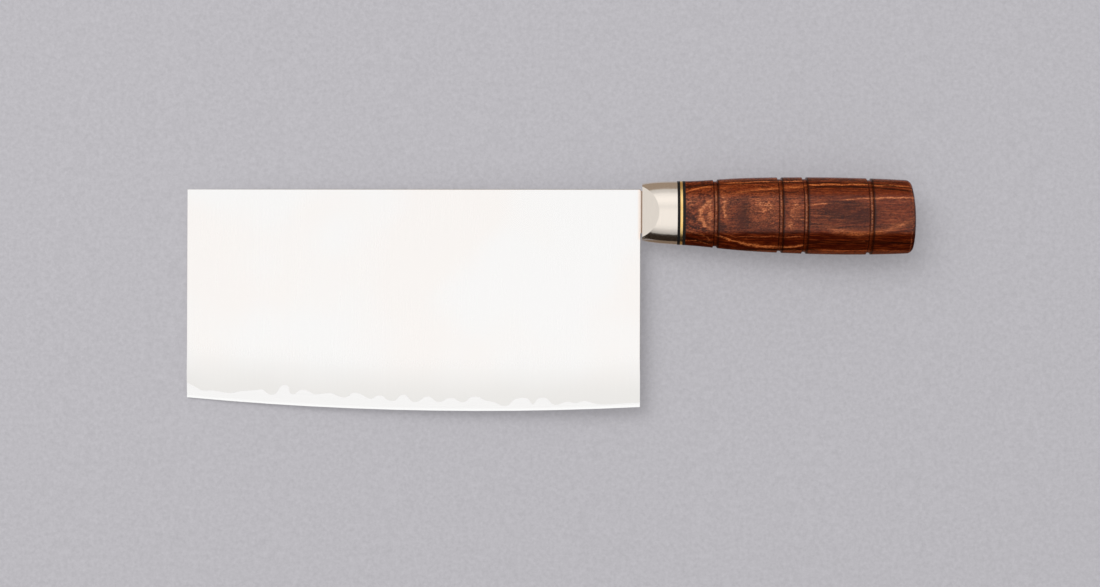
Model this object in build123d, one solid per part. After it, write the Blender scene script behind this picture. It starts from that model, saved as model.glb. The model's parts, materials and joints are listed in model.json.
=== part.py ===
from build123d import *
import math
import os

# A laminated kitchen cleaver lying on its side.
# Working frame: x runs from the blade's front end to the handle, y is zero at the spine and
# negative towards the edge, z is zero at the blade's middle plane. All sizes are millimetres.

# Blade
blade_length = 220.0
front_height = 101.2
belly_height = 107.0
belly_distance = 133.0
heel_height = 104.6
blade_thickness = 2.2
core_thickness = 0.74
rim_chamfer = 0.2

# Ground bevels, one on each side of the edge
grind_height = 79.0
grind_drop_share = 0.28
shoulder_thickness = 0.38
edge_thickness = 0.16
edge_bevel_height = 0.8
grind_station_shares = (-0.02, 0.25, 0.5, 0.75, 1.02)

# Line where the cladding ends above the edge: place along the blade, height above the edge
weld_line_height = 9.4
weld_line_shares = (
    (-0.02, 0.67), (0.011, 0.66), (0.022, 0.53), (0.033, 0.43), (0.054, 0.47), (0.097, 0.41),
    (0.118, 0.54), (0.157, 0.68), (0.169, 0.71), (0.177, 0.56), (0.198, 0.55), (0.204, 0.74),
    (0.211, 0.96), (0.217, 1.02), (0.225, 0.98), (0.228, 0.76), (0.232, 0.58), (0.24, 0.59),
    (0.249, 0.76), (0.259, 0.83), (0.27, 0.78), (0.279, 0.67), (0.321, 0.73), (0.338, 0.59),
    (0.348, 0.54), (0.358, 0.60), (0.366, 0.76), (0.376, 0.81), (0.387, 0.74), (0.402, 0.56),
    (0.41, 0.53), (0.419, 0.64), (0.428, 0.71), (0.436, 0.66), (0.445, 0.50), (0.454, 0.45),
    (0.464, 0.49), (0.471, 0.67), (0.483, 0.78), (0.49, 0.69), (0.496, 0.51), (0.508, 0.42),
    (0.517, 0.50), (0.527, 0.67), (0.534, 0.72), (0.542, 0.67), (0.549, 0.52), (0.56, 0.45),
    (0.571, 0.53), (0.578, 0.63), (0.586, 0.65), (0.594, 0.62), (0.602, 0.50), (0.611, 0.44),
    (0.621, 0.53), (0.628, 0.68), (0.638, 0.74), (0.648, 0.70), (0.658, 0.57), (0.68, 0.45),
    (0.692, 0.32), (0.703, 0.25), (0.713, 0.31), (0.723, 0.53), (0.736, 0.64), (0.748, 0.65),
    (0.756, 0.58), (0.761, 0.41), (0.766, 0.32), (0.771, 0.42), (0.776, 0.58), (0.787, 0.64),
    (0.798, 0.58), (0.805, 0.38), (0.815, 0.27), (0.827, 0.32), (0.842, 0.41), (0.86, 0.33),
    (0.876, 0.42), (0.899, 0.29), (0.943, 0.21), (1.02, 0.20),
)

# Handle, as one smooth form that the bolster, the spacers and the grip share
nose_gap = 0.75
handle_length = 129.1
handle_half_height = 18.45
handle_half_thickness = 12.7
handle_side_share = 0.66
handle_axis_drop = 10.9
handle_droop = 2.05
handle_droop_power = 1.4
handle_station_shares = (0.0, 0.05, 0.13, 0.20, 0.30, 0.45, 0.68, 0.87, 1.0)
handle_height_shares = (0.748, 0.797, 0.833, 0.845, 0.911, 0.969, 1.0, 0.982, 0.942)
handle_thickness_shares = (0.70, 0.71, 0.735, 0.785, 0.86, 0.94, 1.0, 0.99, 0.96)
handle_slices = 12
butt_dome_radius = 300.0
butt_dome_drop = 8.5
butt_round = 3.1

# Bolster and spacers
bolster_length = 16.7
bolster_nose_thickness = 8.4
bolster_facet_length = 7.9
black_spacer_thickness = 1.38
brass_spacer_thickness = 1.12

# Carved grooves, placed along the grip
groove_place_shares = (0.1306, 0.4126, 0.5208, 0.8035)
groove_width = 2.3
groove_floor_width = 1.2
groove_depth = 0.85
groove_overcut = 0.5

# Tang and what beds it
tang_neck_height = 21.0
tang_end_height = 10.0
tang_thickness = 2.0
tang_length = 108.0
tang_root = 6.0
solder_gap = 0.15
bed_gap = 0.5

# Past every face that a cutting shape goes through
overrun = 3.0

# Number of steps along the grip in the search for where it rests
rest_steps = 100

# Places that follow from the sizes
half_plate = blade_thickness / 2
half_tang = tang_thickness / 2
nose_x = blade_length + nose_gap
bolster_rear_x = nose_x + bolster_length
brass_front_x = bolster_rear_x + black_spacer_thickness
brass_rear_x = brass_front_x + brass_spacer_thickness
grip_front_x = brass_rear_x + black_spacer_thickness
butt_x = nose_x + handle_length
grip_length = butt_x - grip_front_x
facet_tilt = math.degrees(
    math.atan2(handle_half_thickness * handle_thickness_shares[1] - bolster_nose_thickness / 2,
               bolster_facet_length)
)


def eased(places, values, place):
    # smooth curve through the table's points, read at one place
    spans = [i for i in range(len(places) - 1) if places[i] <= place]
    i = spans[-1] if spans else 0
    slopes = []
    for k in (i, i + 1):
        low, high = max(k - 1, 0), min(k + 1, len(places) - 1)
        slopes.append((values[high] - values[low]) / (places[high] - places[low]))
    span = places[i + 1] - places[i]
    t = (place - places[i]) / span
    start = (1 + 2 * t) * (1 - t) ** 2 * values[i] + t * (1 - t) ** 2 * span * slopes[0]
    end = t * t * (3 - 2 * t) * values[i + 1] + t * t * (t - 1) * span * slopes[1]
    return start + end


def handle_half_height_at(x):
    share = (x - nose_x) / handle_length
    return handle_half_height * eased(handle_station_shares, handle_height_shares, share)


def handle_half_thickness_at(x):
    share = (x - nose_x) / handle_length
    return handle_half_thickness * eased(handle_station_shares, handle_thickness_shares, share)


def handle_axis_y(x):
    # the axis sinks towards the butt, fastest at the nose
    ahead = max(0, 1 - (x - nose_x) / handle_length)
    return -handle_axis_drop - handle_droop * (1 - ahead ** handle_droop_power)


def handle_section(x):
    # oval of four tangent arcs: two crowned faces and two tighter sides
    height = handle_half_height_at(x)
    thick = handle_half_thickness_at(x)
    side = thick * handle_side_share
    reach = height - side
    crown = (reach ** 2 + thick ** 2 - side ** 2) / (2 * (thick - side))
    join_y = reach + side * reach / (crown - side)
    join_z = side * (crown - thick) / (crown - side)
    arcs = [
        ThreePointArc((join_y, join_z), (0, thick), (-join_y, join_z)),
        ThreePointArc((-join_y, join_z), (-height, 0), (-join_y, -join_z)),
        ThreePointArc((-join_y, -join_z), (0, -thick), (join_y, -join_z)),
        ThreePointArc((join_y, -join_z), (height, 0), (join_y, join_z)),
    ]
    plane = Plane(origin=(x, handle_axis_y(x), 0), x_dir=(0, 1, 0), z_dir=(1, 0, 0))
    return plane * make_face(arcs)


def edge_curve():
    return ThreePointArc(
        (0, -front_height), (belly_distance, -belly_height), (blade_length, -heel_height)
    )


def edge_height(x):
    # distance from the spine to the edge, on the circle through the edge curve's three points
    ax, ay, bx, by = belly_distance, front_height - belly_height, blade_length, front_height - heel_height
    turn = 2 * (ax * by - ay * bx)
    centre_x = (by * (ax ** 2 + ay ** 2) - ay * (bx ** 2 + by ** 2)) / turn
    centre_y = (ax * (bx ** 2 + by ** 2) - bx * (ax ** 2 + ay ** 2)) / turn
    radius = math.hypot(centre_x, centre_y)
    return front_height - centre_y + math.sqrt(radius ** 2 - (x - centre_x) ** 2)


def tang_outline(gap=0.0):
    # tapered tongue with a rounded end, along the handle's axis
    neck = tang_neck_height / 2 + gap
    tip = tang_end_height / 2 + gap
    root_x = blade_length - tang_root
    end_x = nose_x + tang_length
    shoulder_x = end_x - tip
    root_y, shoulder_y, end_y = (handle_axis_y(x) for x in (root_x, shoulder_x, end_x))
    return make_face([
        Polyline((shoulder_x, shoulder_y - tip), (root_x, root_y - neck),
                 (root_x, root_y + neck), (shoulder_x, shoulder_y + tip)),
        ThreePointArc((shoulder_x, shoulder_y + tip), (end_x + gap, end_y), (shoulder_x, shoulder_y - tip)),
    ])


def grind_cutter(share):
    # what the stones take off one side: a convex face, then the narrow bevel of the edge itself
    flat = half_plate * share
    shoulder = shoulder_thickness / 2 * share
    edge = edge_thickness / 2 * share
    faces = []
    for station in grind_station_shares:
        x = station * blade_length
        low = -edge_height(x)
        shoulder_y = low + edge_bevel_height
        middle_y = (shoulder_y - grind_height) / 2
        middle_z = flat - (flat - shoulder) * grind_drop_share
        slope = (shoulder - edge) / edge_bevel_height
        faces.append(Plane(origin=(x, 0, 0), x_dir=(0, 1, 0), z_dir=(1, 0, 0)) * make_face([
            ThreePointArc((-grind_height, flat), (middle_y, middle_z), (shoulder_y, shoulder)),
            Polyline((shoulder_y, shoulder), (low - overrun, edge - overrun * slope),
                     (low - overrun, flat + overrun), (-grind_height, flat + overrun),
                     (-grind_height, flat)),
        ]))
    return loft(faces)


def ground_plate(share, rim=0.0):
    # blade and tang in one plate, share of the full thickness, ground thin towards the edge
    outline = make_face([
        edge_curve(),
        Polyline((blade_length, -heel_height), (blade_length, 0), (0, 0), (0, -front_height)),
    ])
    plate = extrude(outline, amount=half_plate * share, both=True)
    if rim:
        rims = plate.edges().filter_by(GeomType.LINE).filter_by(Axis.Z, reverse=True)
        plate = chamfer(rims, rim)
    plate = plate + extrude(tang_outline(), amount=half_tang * share, both=True)
    cutter = grind_cutter(share)
    return plate - cutter - mirror(cutter, about=Plane.XY)


def weld_zone(line_shares):
    # everything above the wavy line, on the upper side of the blade's middle plane
    points = []
    for place, height in line_shares:
        x = place * blade_length
        points.append((x, -edge_height(x) + height * weld_line_height))
    left, right = points[0][0], nose_x + tang_length + overrun
    outline = make_face([
        Spline(*points),
        Polyline(points[-1], (right, points[-1][1]), (right, overrun), (left, overrun), points[0]),
    ])
    return extrude(outline, amount=half_plate + overrun)


def laminated_blade():
    # the far side's line is as uneven as the near side's, with its waves in the opposite order
    far_line_shares = [(1 - place, height) for place, height in reversed(weld_line_shares)]
    body = ground_plate(1.0, rim_chamfer)
    sheet = ground_plate(core_thickness / blade_thickness)
    upper = (body & weld_zone(weld_line_shares)) - sheet
    lower = mirror((body & weld_zone(far_line_shares)) - sheet, about=Plane.XY)
    core = body - upper - lower
    return body, core, upper, lower


def handle_form():
    step = handle_length / handle_slices
    return loft([handle_section(nose_x + step * k) for k in range(handle_slices + 1)])


def between(form, front_x, rear_x):
    # slice of a form between two planes square to the spine
    size = 2 * (handle_half_height + handle_axis_drop + overrun)
    block = Pos((front_x + rear_x) / 2, handle_axis_y(front_x), 0) * Box(rear_x - front_x, size, size)
    return form & block


def slot(gap, front_x, rear_x):
    # slot that follows the tang with an even gap
    return between(extrude(tang_outline(gap), amount=half_tang + gap, both=True), front_x, rear_x)


def facet_cutter():
    # all that lies above the facet's plane, which climbs from the nose to the crown
    reach = bolster_length + handle_half_height
    block = Box(2 * reach, 2 * reach, reach, align=(Align.CENTER, Align.CENTER, Align.MIN))
    start = Pos(nose_x, handle_axis_y(nose_x), bolster_nose_thickness / 2)
    return start * Rot(0, -facet_tilt, 0) * block


def bolster(form):
    cutter = facet_cutter()
    return between(form, nose_x, bolster_rear_x) - cutter - mirror(cutter, about=Plane.XY)


def groove_ring(x):
    # channel with sloped walls and a narrow floor, swept once round the oval
    floor = groove_floor_width / 2
    lip = groove_width / 2 + (groove_width / 2 - floor) * groove_overcut / groove_depth
    side = (x, handle_axis_y(x) + handle_half_height_at(x), 0)
    profile = Plane(origin=side, x_dir=(1, 0, 0), z_dir=(0, 0, 1)) * make_face(
        Polyline((-floor, -groove_depth), (floor, -groove_depth), (lip, groove_overcut),
                 (-lip, groove_overcut), close=True)
    )
    return sweep(profile, path=handle_section(x).faces()[0].outer_wire())


def grip(form):
    # the butt bulges most below the handle's axis
    body = between(form, grip_front_x, butt_x + overrun)
    dome_y = handle_axis_y(butt_x) - butt_dome_drop
    body = body & Pos(butt_x - butt_dome_radius, dome_y, 0) * Sphere(butt_dome_radius)
    rim = body.faces().sort_by(Axis.X)[-1].edges()
    body = fillet(rim, butt_round)
    for share in groove_place_shares:
        body = body - groove_ring(grip_front_x + share * grip_length)
    return body


def rest_pitch():
    # tilt at which the blade's front end and the grip's belly touch the same flat surface
    places = [grip_front_x + grip_length * k / rest_steps for k in range(rest_steps + 1)]
    return max(math.atan2(handle_half_thickness_at(x) - half_plate, x) for x in places)


def build():
    body, core, upper, lower = laminated_blade()
    form = handle_form()
    slot_end = nose_x + tang_length + bed_gap
    bolster_slot = slot(solder_gap, nose_x, bolster_rear_x)
    bed_slot = slot(bed_gap, bolster_rear_x, slot_end + overrun)
    nodes = {
        "core_steel": core,
        "cladding_upper": upper,
        "cladding_lower": lower,
        "bolster": bolster(form) - bolster_slot,
        "bolster_solder": bolster_slot - body,
        "spacer_front": between(form, bolster_rear_x, brass_front_x) - bed_slot,
        "spacer_brass": between(form, brass_front_x, brass_rear_x) - bed_slot,
        "spacer_rear": between(form, brass_rear_x, grip_front_x) - bed_slot,
        "grip": grip(form) - bed_slot,
        "tang_adhesive": bed_slot - body,
    }
    tilted = {name: Rot(0, -math.degrees(rest_pitch()), 0) * shape for name, shape in nodes.items()}
    box = Compound(list(tilted.values())).bounding_box()
    shift = Pos(-box.center().X, -box.center().Y, -box.min.Z)
    return {name: shift * shape for name, shape in tilted.items()}


os.makedirs("parts", exist_ok=True)
for name, shape in build().items():
    export_step(shape, f"parts/{name}.step")
    print(name, len(shape.solids()), "solid", round(shape.volume, 2), "mm3")
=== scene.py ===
import json
import math

import bpy
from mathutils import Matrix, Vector


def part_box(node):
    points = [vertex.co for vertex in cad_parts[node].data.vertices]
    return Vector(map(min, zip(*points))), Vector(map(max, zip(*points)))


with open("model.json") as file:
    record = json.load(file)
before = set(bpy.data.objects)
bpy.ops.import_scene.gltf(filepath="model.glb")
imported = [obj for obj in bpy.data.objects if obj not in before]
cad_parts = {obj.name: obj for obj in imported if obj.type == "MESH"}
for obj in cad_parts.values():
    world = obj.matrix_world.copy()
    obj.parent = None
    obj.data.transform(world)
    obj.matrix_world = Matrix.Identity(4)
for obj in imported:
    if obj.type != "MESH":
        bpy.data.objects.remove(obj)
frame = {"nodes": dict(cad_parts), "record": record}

scene = bpy.context.scene
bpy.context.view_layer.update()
cadNodes = frame["nodes"]
print("frame loaded:", len(cadNodes), "pieces")

# The blade lies tilted: its upper face's normal gives the pitch of the blade and handle
mounts = {mount["name"]: mount for mount in frame["record"]["mounts"]}
faceNormal = mounts["upper_face"]["axis"]
restPitch = math.atan2(-faceNormal[0], faceNormal[2])
millimetre = 0.001

coreLow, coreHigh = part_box("core_steel")
bladeStart = Vector((coreLow.x, coreHigh.y, coreLow.z))   # front end of the spine

# The grip's front face leans with the blade, so its middle lies behind the front of its box
gripLow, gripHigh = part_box("grip")
ringLow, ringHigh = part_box("spacer_rear")
faceLean = (ringHigh.z - ringLow.z) / 2 * math.sin(restPitch)
gripFront = Vector((gripLow.x + faceLean, (gripLow.y + gripHigh.y) / 2, 0))
gripFront.z = bladeStart.z + (gripFront.x - bladeStart.x) * math.tan(restPitch)


# Short ways to make and join shader nodes

def feed(tree, socket, value):
    if isinstance(value, bpy.types.NodeSocket):
        tree.links.new(value, socket)
    else:
        socket.default_value = value


def calc(tree, operation, *values):
    node = tree.nodes.new("ShaderNodeMath")
    node.operation = operation
    for socket, value in zip(node.inputs, values):
        feed(tree, socket, value)
    return node.outputs[0]


def plus(tree, first, second):
    return calc(tree, "ADD", first, second)


def minus(tree, first, second):
    return calc(tree, "SUBTRACT", first, second)


def times(tree, first, *others):
    for other in others:
        first = calc(tree, "MULTIPLY", first, other)
    return first


def highest(tree, first, *others):
    for other in others:
        first = calc(tree, "MAXIMUM", first, other)
    return first


def centred(tree, value):
    # noise that runs from 0 to 1, made to swing about 0
    return minus(tree, value, 0.5)


def hump(tree, value, centre, width):
    # bell curve that is 1 at the centre
    offset = calc(tree, "DIVIDE", minus(tree, value, centre), width)
    return calc(tree, "EXPONENT", times(tree, offset, offset, -1.0))


def remap(tree, value, low, high, toLow=0.0, toHigh=1.0, curve="SMOOTHSTEP"):
    # a span in the dictionaries below holds these four numbers, or low and high alone
    node = tree.nodes.new("ShaderNodeMapRange")
    node.interpolation_type = curve
    for socket, setting in zip(node.inputs, (value, low, high, toLow, toHigh)):
        feed(tree, socket, setting)
    return node.outputs[0]


def blend(tree, factor, under, over, mode="MIX"):
    # inputs 6 and 7 and output 2 are the node's colour sockets
    node = tree.nodes.new("ShaderNodeMix")
    node.data_type = "RGBA"
    node.blend_type = mode
    feed(tree, node.inputs[0], factor)
    feed(tree, node.inputs[6], under)
    feed(tree, node.inputs[7], over)
    return node.outputs[2]


def tinted(tree, colour, shade):
    tint = tree.nodes.new("ShaderNodeCombineColor")
    for channel in range(3):
        tree.links.new(shade, tint.inputs[channel])
    return blend(tree, 1.0, colour, tint.outputs[0], "MULTIPLY")


def stretched(tree, vector, scale):
    node = tree.nodes.new("ShaderNodeVectorMath")
    node.operation = "MULTIPLY"
    feed(tree, node.inputs[0], vector)
    feed(tree, node.inputs[1], scale)
    return node.outputs[0]


def split(tree, vector):
    node = tree.nodes.new("ShaderNodeSeparateXYZ")
    tree.links.new(vector, node.inputs[0])
    return list(node.outputs)


def joined(tree, *values):
    node = tree.nodes.new("ShaderNodeCombineXYZ")
    for socket, value in zip(node.inputs, values):
        feed(tree, socket, value)
    return node.outputs[0]


def noise(tree, vector, scale=1.0, detail=2.0, roughness=0.5, distortion=0.0):
    node = tree.nodes.new("ShaderNodeTexNoise")
    feed(tree, node.inputs["Vector"], vector)
    feed(tree, node.inputs["Scale"], scale)
    node.inputs["Detail"].default_value = detail
    node.inputs["Roughness"].default_value = roughness
    node.inputs["Distortion"].default_value = distortion
    return node.outputs["Fac"]


def rgb(*screen):
    # a colour picked on a screen, as the shader's linear values
    shares = [value / 255 for value in screen]
    return [((share + 0.055) / 1.055) ** 2.4 if share > 0.04 else share / 12.92 for share in shares] + [1]


def partSpace(tree, origin):
    # millimetres along the part, across it and up from its middle plane
    coords = tree.nodes.new("ShaderNodeTexCoord")
    place = tree.nodes.new("ShaderNodeMapping")
    place.vector_type = "TEXTURE"
    place.inputs["Location"].default_value = origin
    place.inputs["Rotation"].default_value = (0, -restPitch, 0)
    place.inputs["Scale"].default_value = (millimetre, millimetre, millimetre)
    tree.links.new(coords.outputs["Object"], place.inputs["Vector"])
    return place.outputs["Vector"]


def newMaterial(name, **shader):
    material = bpy.data.materials.new(name)
    material.use_nodes = True
    tree = material.node_tree
    skin = tree.nodes["Principled BSDF"]
    for label, value in shader.items():
        skin.inputs[label.replace("_", " ")].default_value = value
    return material, tree, skin


def addBump(tree, skin, height, depth):
    bump = tree.nodes.new("ShaderNodeBump")
    bump.inputs["Strength"].default_value = 1.0
    bump.inputs["Distance"].default_value = depth
    tree.links.new(height, bump.inputs["Height"])
    tree.links.new(bump.outputs["Normal"], skin.inputs["Normal"])


def dress(nodeName, material):
    cadNodes[nodeName].material_slots[0].material = material


# Shared effect: what polishing leaves on metal

polish = {
    "lineDetail": 3.0,
    "lineRoughness": 0.65,
    "lineReach": 0.3,                       # the lines go about this far below and above 0
    "patchDetail": 2.0,
    "patchSpan": (0.3, 0.7, 0.45, 1.0),     # their strength by patches
}


def makePolishLines():
    # fine parallel scratches that a belt or a stone leaves, with patches where they fade
    group = bpy.data.node_groups.new("polishLines", "ShaderNodeTree")
    sockets = group.interface
    sockets.new_socket("Vector", in_out="INPUT", socket_type="NodeSocketVector")
    sockets.new_socket("Stretch", in_out="INPUT", socket_type="NodeSocketVector")
    sockets.new_socket("Patches", in_out="INPUT", socket_type="NodeSocketFloat")
    sockets.new_socket("Lines", in_out="OUTPUT", socket_type="NodeSocketFloat")
    start = group.nodes.new("NodeGroupInput")
    end = group.nodes.new("NodeGroupOutput")
    squeezed = stretched(group, start.outputs["Vector"], start.outputs["Stretch"])
    lines = noise(group, squeezed, 1.0, polish["lineDetail"], polish["lineRoughness"])
    patches = noise(group, start.outputs["Vector"], start.outputs["Patches"], polish["patchDetail"])
    faded = times(group, centred(group, lines), remap(group, patches, *polish["patchSpan"]))
    group.links.new(faded, end.inputs["Lines"])
    return group


polishLines = makePolishLines()


def usePolishLines(tree, vector, stretch, patches):
    node = tree.nodes.new("ShaderNodeGroup")
    node.node_tree = polishLines
    tree.links.new(vector, node.inputs["Vector"])
    node.inputs["Stretch"].default_value = stretch
    node.inputs["Patches"].default_value = patches
    return node.outputs["Lines"]


def streaked(tree, colour, lines, shades):
    # the lines darken and lighten a colour by the two shades
    shade = remap(tree, lines, -polish["lineReach"], polish["lineReach"], *shades, "LINEAR")
    return tinted(tree, colour, shade)


def finishMetal(tree, skin, colour, roughness, lines, lineRoughness, depth):
    tree.links.new(colour, skin.inputs["Base Color"])
    rough = plus(tree, roughness, times(tree, lines, lineRoughness))
    tree.links.new(rough, skin.inputs["Roughness"])
    addBump(tree, skin, lines, depth)


# Blade: soft steel cladding over a hard core

blade = {
    "claddingColour": rgb(252, 251, 250),
    "warmColour": rgb(253, 249, 246),       # slow clouds in the cladding
    "hazeAndShadeColour": rgb(241, 239, 236),       # greyer towards the weld line: partly a hazy finish, partly painted shade on the convex grind
    "coreColour": rgb(249, 248, 247),
    "edgeHighlightColour": rgb(255, 255, 254),      # painted highlight along the bevel of the edge
    "heelShadeColour": rgb(253, 231, 214),       # painted warm shade in front of the ferrule
    "neckShadowColour": rgb(140, 108, 86),        # and painted shadow on the neck in its gap
    # course of the edge
    "bellyHeight": 107.0,                   # from the spine to the edge where the blade is tallest
    "bellyDistance": 133.0,
    "bellyBend": 0.000328,
    # above the edge
    "hazeAndShadeSpan": (28.5, 4.0),
    "hazeAndShadeDrift": 9.0,                       # how far clouds carry the haze and painted shade up and down
    "edgeHighlightSpan": (1.6, 0.5),
    "besideSpan": (79.0, 82.0),             # from here up the ferrule stands behind the blade
    # along the blade
    "heelSpan": (218.2, 219.7),
    "heelShadeStrength": 0.6,
    "neckSpan": (220.0, 220.5),
    # clouds: scale, detail
    "hazeAndShadeCloud": (0.02, 3.0),
    "warmCloud": (0.012, 2.0),
    "warmSpan": (0.45, 0.65),
    # strokes: stretch along the blade, from spine to edge, and up
    "claddingStrokes": (3.2, 0.05, 0.4),
    "coreStrokes": (0.06, 2.6, 0.4),
    "strokePatches": 0.03,
    "claddingShades": (0.975, 1.015),
    "coreShades": (0.95, 1.02),
    "scratchDepth": 0.000004,
    "claddingRoughness": 0.26,
    "claddingStrokeRoughness": 0.12,
    "hazeRoughness": 0.12,                  # added where the haze lies
    "coreRoughness": 0.18,
    "coreStrokeRoughness": 0.15,
}


def bladeSpace(tree):
    # place on the blade, distance along it and height above the curved edge
    place = partSpace(tree, bladeStart)
    along, across = split(tree, place)[:2]
    fromBelly = minus(tree, along, blade["bellyDistance"])
    edge = minus(tree, blade["bellyHeight"], times(tree, fromBelly, fromBelly, blade["bellyBend"]))
    return place, along, plus(tree, edge, across)


def makeCladding():
    material, tree, skin = newMaterial("claddingSteel", Metallic=1.0)
    place, along, above = bladeSpace(tree)
    brush = usePolishLines(tree, place, blade["claddingStrokes"], blade["strokePatches"])
    cloud = centred(tree, noise(tree, place, *blade["hazeAndShadeCloud"]))
    hazeAndShadeHeight = plus(tree, above, times(tree, cloud, blade["hazeAndShadeDrift"]))
    hazeAndShade = remap(tree, hazeAndShadeHeight, *blade["hazeAndShadeSpan"])
    warm = remap(tree, noise(tree, place, *blade["warmCloud"]), *blade["warmSpan"])
    colour = blend(tree, warm, blade["claddingColour"], blade["warmColour"])
    # the cladding greys towards the weld line: partly hazy finish, partly painted shade on the convex grind
    colour = blend(tree, hazeAndShade, colour, blade["hazeAndShadeColour"])
    colour = streaked(tree, colour, brush, blade["claddingShades"])
    # painted warm shade on the heel in front of the ferrule and painted shadow on the neck in its gap
    beside = remap(tree, above, *blade["besideSpan"])
    heelShade = times(tree, remap(tree, along, *blade["heelSpan"]), beside, blade["heelShadeStrength"])
    colour = blend(tree, heelShade, colour, blade["heelShadeColour"])
    neckShadow = times(tree, remap(tree, along, *blade["neckSpan"]), beside)
    colour = blend(tree, neckShadow, colour, blade["neckShadowColour"])
    rough = plus(tree, blade["claddingRoughness"], times(tree, hazeAndShade, blade["hazeRoughness"]))
    finishMetal(tree, skin, colour, rough, brush, blade["claddingStrokeRoughness"], blade["scratchDepth"])
    return material


def makeCore():
    material, tree, skin = newMaterial("coreSteel", Metallic=1.0)
    place, along, above = bladeSpace(tree)
    # the stone's strokes follow the edge
    brush = usePolishLines(tree, joined(tree, along, above), blade["coreStrokes"], blade["strokePatches"])
    colour = streaked(tree, blade["coreColour"], brush, blade["coreShades"])
    # painted highlight along the bevel of the edge
    colour = blend(tree, remap(tree, above, *blade["edgeHighlightSpan"]), colour, blade["edgeHighlightColour"])
    rough = blade["coreRoughness"]
    finishMetal(tree, skin, colour, rough, brush, blade["coreStrokeRoughness"], blade["scratchDepth"])
    return material


cladding = makeCladding()
dress("cladding_upper", cladding)
dress("cladding_lower", cladding)
dress("core_steel", makeCore())
print("blade finished")


# Ferrule

ferrule = {
    "colour": rgb(245, 235, 224),
    "strokes": (3.4, 0.12, 0.12),
    "strokePatches": 0.12,
    "shades": (0.93, 1.03),
    "roughness": 0.13,
    "strokeRoughness": 0.1,
    "scratchDepth": 0.000006,
}


def makeNickelSilver():
    material, tree, skin = newMaterial("nickelSilver", Metallic=1.0)
    place = partSpace(tree, gripFront)
    brush = usePolishLines(tree, place, ferrule["strokes"], ferrule["strokePatches"])
    colour = streaked(tree, ferrule["colour"], brush, ferrule["shades"])
    rough = ferrule["roughness"]
    finishMetal(tree, skin, colour, rough, brush, ferrule["strokeRoughness"], ferrule["scratchDepth"])
    return material


# Rings behind it: brass between two of black fibre

brassRing = {
    "colour": rgb(255, 218, 147),
    "patchColour": rgb(255, 208, 126),
    "patchCloud": (0.25, 3.0),              # scale, detail
    "patchSpan": (0.35, 0.7),
    "strokes": (4.0, 0.3, 0.3),
    "strokePatches": 0.3,
    "roughness": 0.2,
    "strokeRoughness": 0.2,
    "scratchDepth": 0.000005,
}

fibreRings = {
    "colour": rgb(17, 15, 14),
    "fleckColour": rgb(34, 32, 30),
    "fleckStretch": (2.5, 0.8, 0.8),
    "fleckDetail": 4.0,
    "fleckRoughness": 0.7,
    "fleckSpan": (0.4, 0.75),
    "roughnessSpan": (0.3, 0.7, 0.36, 0.55),
    "gloss": 0.2,
    "fleckDepth": 0.00001,
}


def makeBrass():
    material, tree, skin = newMaterial("brassRing", Metallic=1.0)
    place = partSpace(tree, gripFront)
    brush = usePolishLines(tree, place, brassRing["strokes"], brassRing["strokePatches"])
    patches = remap(tree, noise(tree, place, *brassRing["patchCloud"]), *brassRing["patchSpan"])
    colour = blend(tree, patches, brassRing["colour"], brassRing["patchColour"])
    rough = brassRing["roughness"]
    finishMetal(tree, skin, colour, rough, brush, brassRing["strokeRoughness"], brassRing["scratchDepth"])
    return material


def makeFibre():
    material, tree, skin = newMaterial("blackFibre", Specular_IOR_Level=fibreRings["gloss"])
    place = stretched(tree, partSpace(tree, gripFront), fibreRings["fleckStretch"])
    fleck = noise(tree, place, 1.0, fibreRings["fleckDetail"], fibreRings["fleckRoughness"])
    mask = remap(tree, fleck, *fibreRings["fleckSpan"])
    colour = blend(tree, mask, fibreRings["colour"], fibreRings["fleckColour"])
    tree.links.new(colour, skin.inputs["Base Color"])
    tree.links.new(remap(tree, fleck, *fibreRings["roughnessSpan"]), skin.inputs["Roughness"])
    addBump(tree, skin, fleck, fibreRings["fleckDepth"])
    return material


# Solder in the ferrule's slot and adhesive round the tang

solder = {
    "colour": rgb(120, 112, 102),
    "dullColour": rgb(84, 74, 62),
    "lumps": (0.9, 3.0),                    # scale, detail
    "dullSpan": (0.35, 0.65),
    "roughnessSpan": (0.3, 0.7, 0.4, 0.6),
    "lumpDepth": 0.00004,
}

adhesive = {
    "colour": rgb(150, 126, 84),
    "dullColour": rgb(112, 88, 54),
    "lumps": (0.7, 4.0),                    # scale, detail
    "dullSpan": (0.35, 0.65),
    "roughness": 0.45,
    "lumpDepth": 0.00008,
}


def addLumps(tree, skin, look):
    lumps = noise(tree, partSpace(tree, gripFront), *look["lumps"])
    colour = blend(tree, remap(tree, lumps, *look["dullSpan"]), look["colour"], look["dullColour"])
    tree.links.new(colour, skin.inputs["Base Color"])
    addBump(tree, skin, lumps, look["lumpDepth"])
    return lumps


def makeSolder():
    material, tree, skin = newMaterial("solderSeal", Metallic=1.0)
    lumps = addLumps(tree, skin, solder)
    tree.links.new(remap(tree, lumps, *solder["roughnessSpan"]), skin.inputs["Roughness"])
    return material


def makeAdhesive():
    material, tree, skin = newMaterial("tangAdhesive", Roughness=adhesive["roughness"])
    addLumps(tree, skin, adhesive)
    return material


dress("bolster", makeNickelSilver())
dress("spacer_brass", makeBrass())
fibre = makeFibre()
dress("spacer_front", fibre)
dress("spacer_rear", fibre)
dress("bolster_solder", makeSolder())
dress("tang_adhesive", makeAdhesive())
print("ferrule and rings finished")


# Wooden grip. Places are along it from its front face, across it from its middle, and up.

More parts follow.
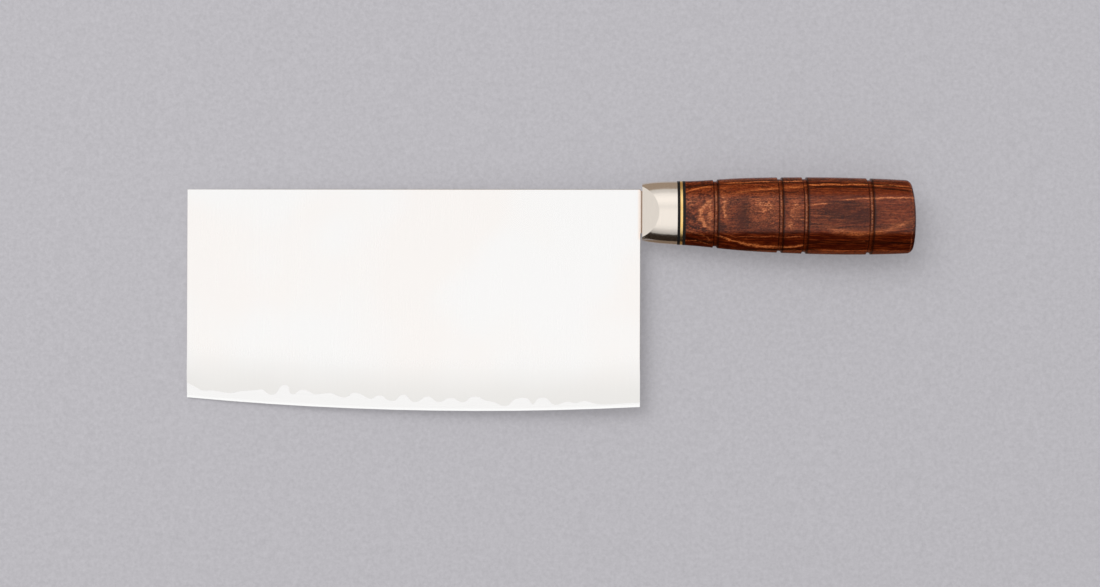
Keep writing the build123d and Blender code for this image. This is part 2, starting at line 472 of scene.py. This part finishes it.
wood = {
    # shades, from the pale marks down to the open pores
    "pale": rgb(206, 128, 82),
    "light": rgb(174, 94, 56),
    "red": rgb(140, 61, 34),
    "mid": rgb(121, 51, 26),
    "ember": rgb(120, 46, 14),
    "band": rgb(96, 36, 10),
    "plum": rgb(71, 28, 17),
    # painted shade on the lower side of the grip
    "lowerShade": rgb(52, 9, 2),
    "dark": rgb(46, 14, 8),
    # also the painted shade in the groove corners
    "poreAndShade": rgb(26, 8, 3),
    "flankTint": (1.0, 0.84, 0.55, 1),
    "frontSpan": (-3.0, 3.0),               # up: the marks below fade out towards the far side
    # noises: stretch along, across and up, then detail, roughness and distortion
    "grain": {
        "fibres": ((0.12, 2.4, 2.4), 4.0, 0.7, 0.0),
        "lines": ((0.1, 1.5, 1.5), 4.0, 0.7, 0.0),
        "ripple": ((0.55, 1.1, 1.1), 3.0, 0.6, 1.2),
        "flame": ((0.6, 1.2, 1.2), 2.0, 0.6, 2.4),
        "drift": ((0.16, 0.3, 0.3), 3.0, 0.55, 0.0),
        "clouds": ((0.035, 0.1, 0.1), 2.0, 0.5, 0.0),
        "pores": ((0.35, 4.5, 4.5), 1.0, 0.5, 0.0),
    },
    # how far these carry the marks along and across
    "alongWaver": {"drift": 5.0, "ripple": 2.6},
    "acrossWaver": {"drift": 1.6, "ripple": 1.0},
    # growth layers: slope across and up, swells (along, width, rise), wavers (stretch, amount, detail)
    "layerSlope": (0.06, 0.985),
    "layerSwells": ((27.0, 13.0, 1.3), (47.0, 8.0, -0.9), (80.0, 25.0, 0.5)),
    "layerWavers": (((0.03, 0.08, 0.08), 1.6, 2.0), ((0.14, 0.5, 0.5), 0.55, 3.0),
                    ((0.7, 1.1, 1.1), 0.22, 3.0)),
    "layerBands": {"Scale": 0.85, "Detail": 4.0, "Roughness": 0.62},
    "toneSpan": (0.36, 0.62),
    # coats over the ground colour: noise, span, shade
    "coats": (
        ("tone", (0.5, 0.72, 0.0, 0.7), "red"), ("clouds", (0.42, 0.62, 0.0, 0.6), "red"),
        ("fibres", (0.35, 0.7, 0.45, 0.0), "dark"),
    ),
    # stretches along the grip, and the figure that shows in them: noise, span, stretch, strength, shade
    "stretches": {
        "plain": ((9.0, 17.0, 0.35, 1.0),),
        "curly": ((40.0, 62.0, 1.0, 0.4), (3.0, 11.0, 0.5, 1.0)),
    },
    "figure": (
        ("lines", (0.48, 0.36), "plain", 0.7, "dark"), ("lines", (0.51, 0.65), "plain", 0.5, "light"),
        ("flame", (0.48, 0.38), "curly", 0.6, "dark"), ("flame", (0.52, 0.63), "curly", 0.55, "light"),
    ),
    # fish scale mottle, strongest by the ferrule: cells along, across and up
    "scaleCells": (0.75, 1.1, 0.7),
    "scaleSpan": (11.0, 16.0, 0.8, 0.22),
    "scaleRims": (0.4, 0.7),
    "scaleHearts": (0.15, 0.4, 1.0, 0.0),
    "scaleHeartStrength": 0.6,
    # streaks that run along the grip: start, end, vertex along, vertex across, bend, half width, strength
    "streakTapers": 5,                      # each end tapers over this part of the streak
    "streaks": (
        (14, 62, 60, 13.2, -0.0022, 0.8, 0.6), (9, 62, 44.4, -15.2, 0.0065, 0.55, 1.0),
        (70, 116, 96, 8.1, -0.0022, 0.3, 1.1), (54, 67, 66, 5.0, -0.01, 0.35, 0.8),
        (62, 112, 82, -9.0, 0.011, 1.5, 0.6),
        (46, 112, 76, 14.6, -0.0013, 0.35, 1.1), (36, 112, 76, -16.7, 0.0, 0.3, 0.5),
        (14, 60, 52, 16.1, -0.0008, 0.25, 0.9), (20, 60, 40, -10.4, 0.0, 0.3, 0.6),
        (-3, 15, 14, 13.5, -0.013, 0.4, 0.8), (-3, 15, -1, -7.7, -0.026, 0.6, 0.55),
        (-3, 15, -1, -12.0, -0.01, 0.4, 0.6),
    ),
    # thin dark layers that surface along the flanks
    "darkStreaks": (
        (10, 64, 52, 16.7, -0.0008, 0.35, 0.8), (10, 64, 52, 15.5, -0.0008, 0.35, 1.0),
        (50, 122, 70, 15.5, -0.0022, 0.4, 1.2), (50, 122, 70, 13.6, -0.0018, 0.45, 1.2),
        (-9, 20, 15, 14.6, -0.0066, 0.5, 1.2), (-9, 20, 15, -13.0, 0.012, 0.7, 1.2),
        (-9, 20, 15, -10.6, 0.012, 0.4, 0.9), (24, 66, 46, -16.4, 0.0, 0.4, 1.2),
        (50, 122, 84, -13.0, 0.0, 0.8, 0.9), (-4, 60, 30, 11.0, -0.001, 0.4, 0.6),
        (24, 60, 42, -8.7, 0.002, 0.4, 0.8),
    ),
    # arrow shaped streaks that run across it, with along and across changed over
    "arrows": (
        (-9.5, 9.3, -0.2, 6.8, 0.095, 1.3, 0.85), (-4, 7, 1.5, 10.4, 0.03, 0.9, 0.55),
        (-3, 9, 3.1, 17.9, 0.06, 0.9, 0.85), (-5, 6, 0.9, 49.2, 0.5, 0.8, 0.6),
    ),
    # patches: along, across, half length, half width, strength
    "palePatches": (
        (36.5, 4.0, 6.5, 6.0, 0.9), (49.3, -5.0, 2.2, 2.2, 1.1), (11.2, 1.0, 1.9, 7.0, 1.1),
        (18.0, 7.5, 2.6, 6.0, 0.9), (51.5, 4.0, 3.0, 5.0, 0.7), (3.0, 6.5, 4.0, 4.5, 0.6),
    ),
    "darkPatches": (
        (26.8, -1.0, 3.5, 7.5, 0.9), (74.0, 2.2, 7.5, 3.4, 0.8), (82.5, -0.6, 7.5, 4.4, 0.9),
        (36.0, -8.2, 9.0, 2.0, 0.7), (52.0, -8.6, 6.0, 1.2, 0.6), (17.5, -6.5, 2.6, 3.2, 0.6),
        (4.0, 14.2, 9.0, 1.2, 0.5), (97.0, 14.2, 12.0, 1.2, 0.45),
    ),
    "spots": (
        (28.2, 2.0, 1.7, 4.6, 0.7), (29.2, -4.2, 1.5, 2.5, 0.65), (17.2, -5.5, 1.8, 2.4, 0.55),
        (75.0, 3.4, 4.0, 1.3, 0.5), (83.0, -2.6, 5.0, 1.2, 0.35), (52.5, -7.6, 3.5, 0.8, 0.8),
    ),
    # what breaks the pale marks up, and the pale rims of growth layers
    "palePatchSpan": (0.36, 0.62),
    "paleBreaks": {"lines": (0.36, 0.56, 0.5, 1.2), "flame": (0.36, 0.54, 0.5, 1.2)},
    "paleHearts": (0.55, 0.95, 0.0, 0.8),
    "contours": {"tone": (0.6, 0.7), "drift": (0.42, 0.6)},
    "contourStrength": 0.55,
    # across: the flanks, and where they end at the top
    "flankSpans": ((7.5, 11.0), (-7.0, -10.0)),
    "flankEnd": (15.4, 16.6, 1.0, 0.15),
    "flankBand": 0.25,
    "layerBreaks": (0.4, 0.6, 1.0, 0.6),
    "layerStrength": 0.85,
    # across: the lower stretch of the crown, painted dark as shade
    "lowerShadeSpans": ((-6.9, -10.0), (-16.8, -16.2)),
    "lowerShadeStrength": 0.92,
    "lowerShadePale": 0.8,                        # how much of it gives way to pale marks
    "emberSpan": (0.46, 0.66, 0.0, 0.65),
    "poreSpan": (0.62, 0.70),
    "poreStrength": 0.7,
    # along: the butt
    "buttSpan": (106.6, 107.8, 0.0, 0.7),
    "buttRim": (106.4, 0.3),                # place, half width
    "rimBreaks": (0.4, 0.6, 0.0, 0.5),
    # along: the carved grooves, then the painted shade and light floor in each as place and half width
    "grooves": (14.17, 44.77, 56.52, 87.2),
    "grooveShadeHalf": 1.1,
    "grooveShadeStrength": 0.4,
    "grooveShift": 0.3,                     # the marks sit this far towards the butt
    "rearCornerShade": (1.0, 0.6),
    "frontCornerShade": (-0.95, 0.24),
    "frontCornerShadeStrength": 0.7,
    "cornerShadeStrength": 0.85,
    "grooveFloor": (-0.1, 0.38),
    "floorBreaks": (0.43, 0.58, 0.0, 0.6),
    "floorSpans": ((-9.0, -6.0), (13.0, 9.0)),   # across: the light floor, bare wood with a painted highlight, shows on the crown
    # gloss on the crown and in its dark stretch, and the share of it that the flanks keep
    "plainGloss": 0.2,                      # stays where the varying gloss is dropped
    "crownGloss": 0.25,
    "lowerShadeGloss": 0.02,
    "flankGloss": 0.4,
    "roughnessSpan": (0.3, 0.7, 0.12, 0.2),
    "poreRoughness": 0.2,
    "fibreRelief": 0.35,
    "reliefDepth": 0.00003,
}


def streak(tree, along, across, mark):
    # line on a parabola, tapering at both ends
    start, end, vertex, place, bend, half, strength = mark
    taper = (end - start) / wood["streakTapers"]
    offset = minus(tree, along, vertex)
    centre = plus(tree, times(tree, offset, offset, bend), place)
    opening = remap(tree, along, start, start + taper)
    closing = remap(tree, along, end - taper, end, 1.0, 0.0)
    return times(tree, hump(tree, across, centre, half), opening, closing, strength)


def patch(tree, along, across, mark):
    # soft oval
    place, height, halfLength, halfWidth, strength = mark
    return times(tree, hump(tree, along, place, halfLength), hump(tree, across, height, halfWidth), strength)


def wavered(tree, value, grain, wavers):
    for name, amount in wavers.items():
        value = plus(tree, value, times(tree, centred(tree, grain[name]), amount))
    return value


def growthTone(tree, place, u, v, w):
    # growth layers lie nearly flat, swell here and there, and waver
    slopeAcross, slopeUp = wood["layerSlope"]
    layer = plus(tree, times(tree, w, slopeUp), times(tree, v, slopeAcross))
    for centre, width, rise in wood["layerSwells"]:
        layer = plus(tree, layer, times(tree, hump(tree, u, centre, width), rise))
    for stretch, amount, detail in wood["layerWavers"]:
        waver = centred(tree, noise(tree, stretched(tree, place, stretch), detail=detail))
        layer = plus(tree, layer, times(tree, waver, amount))
    bands = tree.nodes.new("ShaderNodeTexNoise")
    bands.noise_dimensions = "1D"
    for label, value in wood["layerBands"].items():
        bands.inputs[label].default_value = value
    tree.links.new(layer, bands.inputs["W"])
    return bands.outputs["Fac"]


def groundColour(tree, grain, u):
    # growth layers with straight lines in the plain stretches and flames in the curly ones
    colour = blend(tree, remap(tree, grain["tone"], *wood["toneSpan"]), wood["dark"], wood["mid"])
    for name, span, shade in wood["coats"]:
        colour = blend(tree, remap(tree, grain[name], *span), colour, wood[shade])
    where = {
        name: times(tree, *[remap(tree, u, *span) for span in spans])
        for name, spans in wood["stretches"].items()
    }
    for name, span, stretch, strength, shade in wood["figure"]:
        mask = times(tree, remap(tree, grain[name], *span), where[stretch], strength)
        colour = blend(tree, mask, colour, wood[shade])
    return colour


def addScales(tree, colour, u, w, along, across):
    # each scale has a light heart and a dark rim
    cells = tree.nodes.new("ShaderNodeTexVoronoi")
    cells.inputs["Scale"].default_value = 1.0
    sized = [times(tree, value, size) for value, size in zip((along, across, w), wood["scaleCells"])]
    tree.links.new(joined(tree, *sized), cells.inputs["Vector"])
    fromHeart = cells.outputs["Distance"]
    scaly = remap(tree, u, *wood["scaleSpan"])
    rims = times(tree, remap(tree, fromHeart, *wood["scaleRims"]), scaly)
    colour = blend(tree, rims, colour, wood["dark"])
    hearts = times(tree, remap(tree, fromHeart, *wood["scaleHearts"]), scaly, wood["scaleHeartStrength"])
    return blend(tree, hearts, colour, wood["light"])


def paleMarks(tree, grain, along, across, front):
    marks = [streak(tree, along, across, mark) for mark in wood["streaks"]]
    marks += [streak(tree, across, along, mark) for mark in wood["arrows"]]
    broken = remap(tree, grain["ripple"], *wood["palePatchSpan"])
    marks += [times(tree, patch(tree, along, across, mark), broken) for mark in wood["palePatches"]]
    pale = times(tree, highest(tree, *marks), front)
    contours = [remap(tree, grain[name], *span) for name, span in wood["contours"].items()]
    pale = highest(tree, pale, times(tree, *contours, wood["contourStrength"]))
    breaks = [remap(tree, grain[name], *span) for name, span in wood["paleBreaks"].items()]
    return calc(tree, "MINIMUM", times(tree, pale, *breaks), 1.0)


def addGrooves(tree, colour, grain, u, v):
    # carved grooves: painted shade in their corners and round them, and a light floor, partly bare wood and
    # partly painted highlight
    cornerShades = []
    bareAndLitFloors = []
    for groove in wood["grooves"]:
        offset = minus(tree, u, groove + wood["grooveShift"])
        rear = hump(tree, offset, *wood["rearCornerShade"])
        front = times(tree, hump(tree, offset, *wood["frontCornerShade"]), wood["frontCornerShadeStrength"])
        cornerShades.append(highest(tree, rear, front))
        bareAndLitFloors.append(hump(tree, offset, *wood["grooveFloor"]))
    # painted shade round each groove
    grooveShade = highest(tree, *[hump(tree, u, groove, wood["grooveShadeHalf"]) for groove in wood["grooves"]])
    colour = blend(tree, times(tree, grooveShade, wood["grooveShadeStrength"]), colour, wood["band"])
    # light floor on the crown: bare wood with a painted highlight
    broken = remap(tree, grain["ripple"], *wood["floorBreaks"])
    crown = times(tree, *[remap(tree, v, *span) for span in wood["floorSpans"]])
    colour = blend(tree, times(tree, highest(tree, *bareAndLitFloors), broken, crown), colour, wood["pale"])
    # painted shade in the groove corners
    cornerShade = times(tree, highest(tree, *cornerShades), wood["cornerShadeStrength"])
    return blend(tree, cornerShade, colour, wood["poreAndShade"])


def makeWood():
    material, tree, skin = newMaterial("oiledWood", Specular_IOR_Level=wood["plainGloss"])
    place = partSpace(tree, gripFront)
    u, v, w = split(tree, place)   # along, across and up
    front = remap(tree, w, *wood["frontSpan"])
    grain = {
        name: noise(tree, stretched(tree, place, stretch), 1.0, *settings)
        for name, (stretch, *settings) in wood["grain"].items()
    }
    grain["tone"] = growthTone(tree, place, u, v, w)
    along = wavered(tree, u, grain, wood["alongWaver"])
    across = wavered(tree, v, grain, wood["acrossWaver"])

    colour = groundColour(tree, grain, u)
    dark = highest(tree, *[patch(tree, along, across, mark) for mark in wood["darkPatches"]])
    colour = blend(tree, times(tree, dark, front), colour, wood["plum"])
    colour = addScales(tree, colour, u, w, along, across)
    pale = paleMarks(tree, grain, along, across, front)
    colour = blend(tree, pale, colour, wood["light"])
    colour = blend(tree, remap(tree, pale, *wood["paleHearts"]), colour, wood["pale"])

    # the flanks show more orange wood, crossed by thin dark layers
    flank = highest(tree, *[remap(tree, across, *span) for span in wood["flankSpans"]])
    flank = times(tree, flank, remap(tree, v, *wood["flankEnd"]))
    band = times(tree, flank, minus(tree, 1.0, pale), wood["flankBand"])
    colour = blend(tree, band, colour, wood["band"])
    colour = blend(tree, flank, colour, blend(tree, 1.0, colour, wood["flankTint"], "MULTIPLY"))
    layers = [streak(tree, along, v, mark) for mark in wood["darkStreaks"]]
    layers += [patch(tree, along, across, mark) for mark in wood["spots"]]
    layer = times(tree, highest(tree, *layers), front, remap(tree, grain["lines"], *wood["layerBreaks"]))
    layer = calc(tree, "MINIMUM", layer, 1.0)

    # the lower stretch of the crown is painted deep brown as shade, and the thin dark layers cross it too
    lowerShade = times(tree, *[remap(tree, across, *span) for span in wood["lowerShadeSpans"]], front)
    lowerShade = times(tree, lowerShade, minus(tree, 1.0, times(tree, pale, wood["lowerShadePale"])))
    lowerShadeColours = blend(tree, remap(tree, grain["lines"], *wood["emberSpan"]), wood["lowerShade"], wood["ember"])
    colour = blend(tree, times(tree, lowerShade, wood["lowerShadeStrength"]), colour, lowerShadeColours)
    colour = blend(tree, times(tree, layer, wood["layerStrength"]), colour, wood["poreAndShade"])

    # open pores, long thin flecks along the grain
    pores = remap(tree, grain["pores"], *wood["poreSpan"])
    colour = blend(tree, times(tree, pores, wood["poreStrength"]), colour, wood["poreAndShade"])

    # the wood darkens towards the butt, with a lighter line broken up along its rim
    colour = blend(tree, remap(tree, u, *wood["buttSpan"]), colour, wood["dark"])
    broken = remap(tree, grain["lines"], *wood["rimBreaks"])
    rim = times(tree, hump(tree, u, *wood["buttRim"]), front, broken)
    colour = blend(tree, rim, colour, wood["light"])
    colour = addGrooves(tree, colour, grain, u, v)
    tree.links.new(colour, skin.inputs["Base Color"])

    gloss = remap(tree, lowerShade, 0.0, 1.0, wood["crownGloss"], wood["lowerShadeGloss"], "LINEAR")
    gloss = times(tree, gloss, remap(tree, flank, 0.0, 1.0, 1.0, wood["flankGloss"]))
    tree.links.new(gloss, skin.inputs["Specular IOR Level"])
    rough = remap(tree, grain["fibres"], *wood["roughnessSpan"])
    rough = plus(tree, rough, times(tree, pores, wood["poreRoughness"]))
    tree.links.new(rough, skin.inputs["Roughness"])
    relief = minus(tree, times(tree, grain["fibres"], wood["fibreRelief"]), pores)
    addBump(tree, skin, relief, wood["reliefDepth"])
    return material


dress("grip", makeWood())
print("grip finished")


# Floor, light and camera

studio = {
    "floorSide": 14.0,
    "paperColour": rgb(187, 185, 190),
    "paperGrain": (0.5, 4.0, 0.75),         # scale, detail, roughness
    "paperShades": (0.3, 0.7, 0.915, 1.085),
    "paperRoughness": 0.9,
    "paperGloss": 0.1,
    "paperGlow": 0.36,                      # share of the paper that keeps its colour in the shadow
    "roomLevel": 0.62,                      # what the room gives to surfaces that aren't glossy
    # what metal shows, by how far the reflection leans to the near (-1) or the far side (1)
    "leanLevels": (
        (-0.83, 0.5), (-0.74, 0.66), (-0.67, 0.85), (-0.51, 0.975), (-0.31, 0.99), (0.1, 0.99),
        (0.29, 0.9), (0.45, 1.0), (0.56, 1.07), (0.66, 1.05), (0.77, 0.95), (0.88, 0.66),
    ),
    # and by its height: 0 at the horizon, 1 overhead
    "heightLevels": ((0.0, 0.5), (0.3, 0.64), (0.45, 0.8), (0.64, 1.0), (0.8, 1.1)),
    "keyPlace": (-1.44, 1.536, 2.9),
    "keySide": 2.56,
    "keyPower": 72.0,
    # cards: place, width and height, tilt about x, colour
    "cards": (
        ((0.15, -1.15, 0.3575), (0.9, 0.715), 90, rgb(42, 33, 26)),
        ((0.15, 1.15, 0.229), (0.9, 0.458), 90, rgb(158, 144, 130)),
        ((0.15, -0.61, 0.001), (0.9, 1.08), 0, rgb(42, 33, 26)),
        ((0.25, -0.026, 0.001), (0.41, 0.088), 0, rgb(126, 111, 97)),
        ((0.15, 0.61, 0.001), (0.9, 1.08), 0, rgb(158, 144, 130)),
    ),
    "lens": 50,
    "sensorWidth": 36,
    "cameraOffset": (0.17645, -0.05015),    # from the front end of the spine
    "cameraHeight": 0.7446,
    "cameraTurn": 0.194,
}


def addFloor():
    bpy.ops.object.select_all(action="DESELECT")
    bpy.ops.mesh.primitive_plane_add(size=studio["floorSide"], location=(0, 0, 0))
    floor = bpy.context.object
    floor.name = "floor"
    material, tree, skin = newMaterial(
        "paper", Roughness=studio["paperRoughness"], Specular_IOR_Level=studio["paperGloss"]
    )
    grain = noise(tree, partSpace(tree, (0, 0, 0)), *studio["paperGrain"])
    colour = tinted(tree, studio["paperColour"], remap(tree, grain, *studio["paperShades"], "LINEAR"))
    tree.links.new(colour, skin.inputs["Base Color"])
    glow = tree.nodes.new("ShaderNodeEmission")
    tree.links.new(colour, glow.inputs["Color"])
    path = tree.nodes.new("ShaderNodeLightPath")
    rays = [path.outputs[f"Is {kind} Ray"] for kind in ("Camera", "Glossy", "Transmission")]
    seen = highest(tree, *rays)
    mixed = tree.nodes.new("ShaderNodeMixShader")
    tree.links.new(times(tree, seen, studio["paperGlow"]), mixed.inputs[0])
    tree.links.new(skin.outputs[0], mixed.inputs[1])
    tree.links.new(glow.outputs[0], mixed.inputs[2])
    tree.links.new(mixed.outputs[0], tree.nodes["Material Output"].inputs["Surface"])
    floor.data.materials.append(material)


def levels(tree, value, low, high, stops):
    # smooth curve through stops, as a colour ramp whose grey may pass 1
    ramp = tree.nodes.new("ShaderNodeValToRGB")
    ramp.color_ramp.interpolation = "EASE"
    marks = ramp.color_ramp.elements
    while len(marks) < len(stops):
        marks.new(0.5)
    for mark, (place, level) in zip(marks, stops):
        mark.position = (place - low) / (high - low)
        mark.color = (level, level, level, 1)
    tree.links.new(remap(tree, value, low, high, curve="LINEAR"), ramp.inputs[0])
    return ramp.outputs[0]


def addWorld():
    world = bpy.data.worlds.new("studio")
    scene.world = world
    world.use_nodes = True
    tree = world.node_tree
    sky = tree.nodes["Background"]
    coords = tree.nodes.new("ShaderNodeTexCoord")
    towardsFar, upwards = split(tree, coords.outputs["Generated"])[1:]
    lean = levels(tree, towardsFar, -1.0, 1.0, studio["leanLevels"])
    height = levels(tree, upwards, 0.0, 1.0, studio["heightLevels"])
    shown = calc(tree, "MINIMUM", lean, height)
    path = tree.nodes.new("ShaderNodeLightPath")
    level = remap(tree, path.outputs["Is Glossy Ray"], 0.0, 1.0, studio["roomLevel"], shown, "LINEAR")
    tree.links.new(level, sky.inputs["Strength"])
    sky.inputs["Color"].default_value = (1, 1, 1, 1)


def addKeyLight():
    light = bpy.data.lights.new("key", "AREA")
    light.shape = "SQUARE"
    light.size = studio["keySide"]
    light.energy = studio["keyPower"]
    key = bpy.data.objects.new("key", light)
    key.location = studio["keyPlace"]
    key.rotation_mode = "QUATERNION"
    key.rotation_quaternion = (-Vector(studio["keyPlace"])).to_track_quat("-Z", "Y")
    key.visible_glossy = False   # metal shows the soft room alone
    scene.collection.objects.link(key)


def addCards():
    # cards on and beside the table that show in reflections alone give the metal its darker bands
    for number, (place, size, tilt, colour) in enumerate(studio["cards"], 1):
        bpy.ops.object.select_all(action="DESELECT")
        bpy.ops.mesh.primitive_plane_add(size=1, location=place, rotation=(math.radians(tilt), 0, 0))
        card = bpy.context.object
        card.name = f"card{number}"
        card.scale = (*size, 1)
        material, tree, skin = newMaterial("card", Specular_IOR_Level=0.0, Emission_Strength=1.0)
        skin.inputs["Base Color"].default_value = (0, 0, 0, 1)
        skin.inputs["Emission Color"].default_value = colour
        material.cycles.emission_sampling = "NONE"
        card.data.materials.append(material)
        card.visible_camera = False
        card.visible_diffuse = False
        card.visible_shadow = False


def addCamera():
    # straight down, turned a little as the photograph is
    lens = bpy.data.cameras.new("camera")
    lens.lens = studio["lens"]
    lens.sensor_width = studio["sensorWidth"]
    camera = bpy.data.objects.new("camera", lens)
    offsetX, offsetY = studio["cameraOffset"]
    camera.location = (bladeStart.x + offsetX, bladeStart.y + offsetY, studio["cameraHeight"])
    camera.rotation_euler = (0, 0, math.radians(studio["cameraTurn"]))
    scene.collection.objects.link(camera)
    scene.camera = camera


addFloor()
addWorld()
addKeyLight()
addCards()
addCamera()
scene.view_settings.view_transform = "Standard"
print("studio finished")
